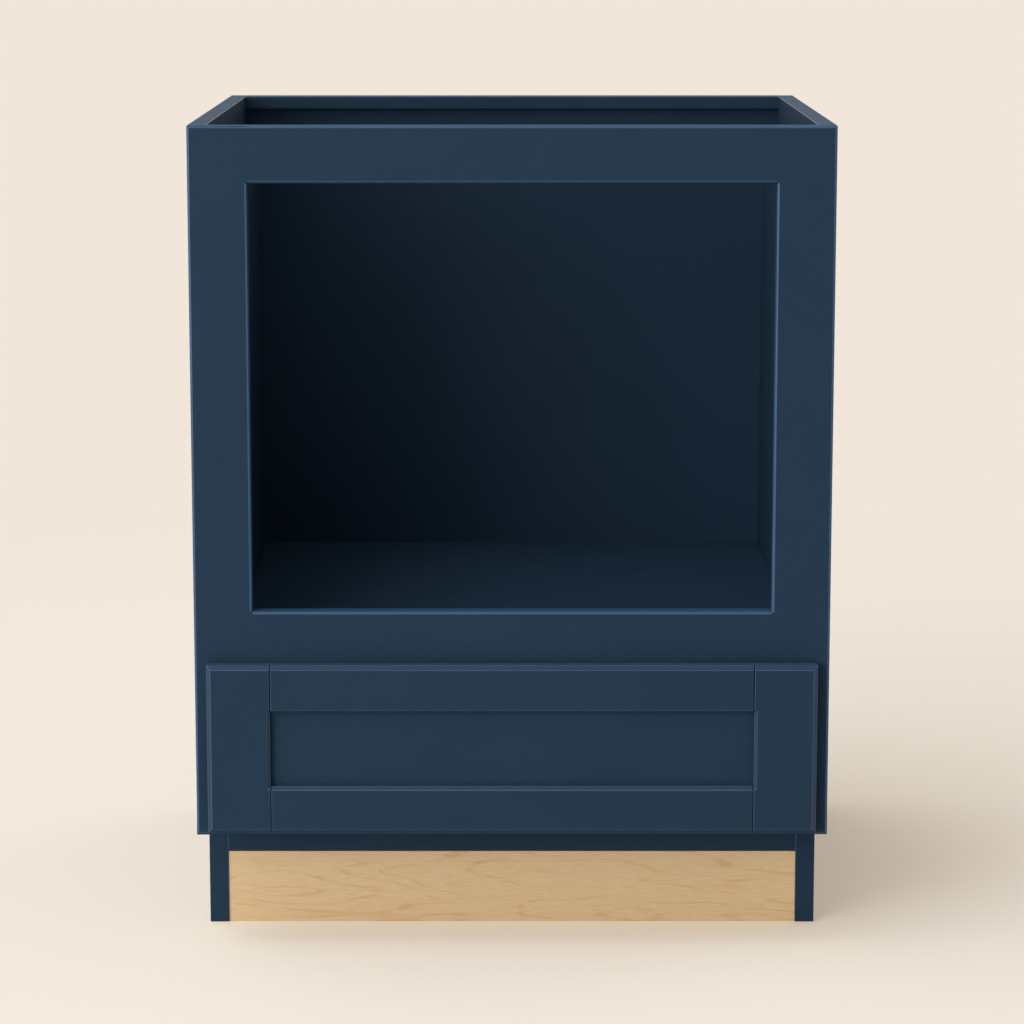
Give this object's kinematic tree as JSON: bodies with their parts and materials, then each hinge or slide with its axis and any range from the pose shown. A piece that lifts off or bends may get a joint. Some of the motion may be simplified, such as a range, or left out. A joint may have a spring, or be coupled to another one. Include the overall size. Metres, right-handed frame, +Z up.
{
  "type": "microwave cabinet",
  "caption": "Face-frame base cabinet with an open top, a wide microwave opening, a shaker drawer on full-extension undermount runners and a recessed toe kick.",
  "frame": {"origin": "on the floor, at the middle of the whole box in plan", "axes": "+Z up, -Y towards the front, +X to the right seen from the front"},
  "size_m": [0.6858, 0.6306, 0.889],
  "materials": {
    "navy_paint": "satin navy paint on maple and plywood",
    "bare_plywood": "bare sanded maple plywood",
    "box_maple": "clear lacquered maple",
    "zinc_steel": "zinc plated, pressed",
    "white_nylon": "moulded nylon",
    "ball_steel": "polished",
    "grey_plastic": "moulded, fine texture",
    "orange_plastic": "moulded, fine texture",
    "beech_dowel": "bare",
    "screw_steel": "zinc plated",
    "clear_pad": "soft translucent polyurethane"
  },
  "bodies": {
    "root": {"left_side_panel": "navy_paint", "right_side_panel": "navy_paint", "back_panel": "navy_paint", "back_top_rail": "navy_paint", "bottom_panel": "navy_paint", "microwave_deck": "navy_paint", "left_liner_panel": "navy_paint", "right_liner_panel": "navy_paint", "left_stile": "navy_paint", "right_stile": "navy_paint", "top_rail": "navy_paint", "middle_rail": "navy_paint", "bottom_rail": "navy_paint", "left_toe_leg": "navy_paint", "right_toe_leg": "navy_paint", "toe_rail": "navy_paint", "toe_board": "bare_plywood", "toe_rear_board": "bare_plywood", "left_cabinet_runner": "zinc_steel", "right_cabinet_runner": "zinc_steel", "left_rear_bracket": "grey_plastic", "right_rear_bracket": "grey_plastic", "frame_dowels": "beech_dowel", "back_panel_screws": "screw_steel", "base_screws": "screw_steel", "runner_screws": "screw_steel", "bracket_screws": "screw_steel"},
    "drawer": {"front_left_stile": "navy_paint", "front_right_stile": "navy_paint", "front_top_rail": "navy_paint", "front_bottom_rail": "navy_paint", "front_panel": "navy_paint", "box_front": "box_maple", "box_back": "box_maple", "box_left_side": "box_maple", "box_right_side": "box_maple", "box_bottom": "box_maple", "left_drawer_runner": "zinc_steel", "right_drawer_runner": "zinc_steel", "left_locking_clip": "grey_plastic", "right_locking_clip": "grey_plastic", "front_screws": "screw_steel", "clip_screws": "screw_steel", "bumper_pads": "clear_pad"},
    "left_middle": {"left_middle_runner": "zinc_steel"},
    "left_lower_bearing": {"left_lower_cage": "white_nylon", "left_lower_balls": "ball_steel"},
    "left_upper_bearing": {"left_upper_cage": "white_nylon", "left_upper_balls": "ball_steel"},
    "left_lever": {"left_release_lever": "orange_plastic"},
    "right_middle": {"right_middle_runner": "zinc_steel"},
    "right_lower_bearing": {"right_lower_cage": "white_nylon", "right_lower_balls": "ball_steel"},
    "right_upper_bearing": {"right_upper_cage": "white_nylon", "right_upper_balls": "ball_steel"},
    "right_lever": {"right_release_lever": "orange_plastic"}
  },
  "joints": [
    {"name": "drawer_slide", "type": "slide", "parent": "root", "child": "drawer", "axis": [0, -1, 0], "range_m": [0, 0.5]},
    {"name": "left_middle_slide", "type": "slide", "parent": "root", "child": "left_middle", "axis": [0, -1, 0], "range_m": [0, 0.25]},
    {"name": "left_lower_bearing_slide", "type": "slide", "parent": "root", "child": "left_lower_bearing", "axis": [0, -1, 0], "range_m": [0, 0.125]},
    {"name": "left_upper_bearing_slide", "type": "slide", "parent": "root", "child": "left_upper_bearing", "axis": [0, -1, 0], "range_m": [0, 0.375]},
    {"name": "left_lever_turn", "type": "hinge", "parent": "drawer", "child": "left_lever", "pos_m": [-0.21, -0.24038, 0.1722], "axis": [0, 0, 1], "range_deg": [0, 18], "stiffness_Nm_per_rad": 0.02},
    {"name": "right_middle_slide", "type": "slide", "parent": "root", "child": "right_middle", "axis": [0, -1, 0], "range_m": [0, 0.25]},
    {"name": "right_lower_bearing_slide", "type": "slide", "parent": "root", "child": "right_lower_bearing", "axis": [0, -1, 0], "range_m": [0, 0.125]},
    {"name": "right_upper_bearing_slide", "type": "slide", "parent": "root", "child": "right_upper_bearing", "axis": [0, -1, 0], "range_m": [0, 0.375]},
    {"name": "right_lever_turn", "type": "hinge", "parent": "drawer", "child": "right_lever", "pos_m": [0.21, -0.24038, 0.1722], "axis": [0, 0, -1], "range_deg": [0, 18], "stiffness_Nm_per_rad": 0.02}
  ],
  "couplings": [
    {"joint": "left_middle_slide", "follows": "drawer_slide", "ratio": 0.5},
    {"joint": "left_lower_bearing_slide", "follows": "drawer_slide", "ratio": 0.25},
    {"joint": "left_upper_bearing_slide", "follows": "drawer_slide", "ratio": 0.75},
    {"joint": "right_middle_slide", "follows": "drawer_slide", "ratio": 0.5},
    {"joint": "right_lower_bearing_slide", "follows": "drawer_slide", "ratio": 0.25},
    {"joint": "right_upper_bearing_slide", "follows": "drawer_slide", "ratio": 0.75}
  ]
}
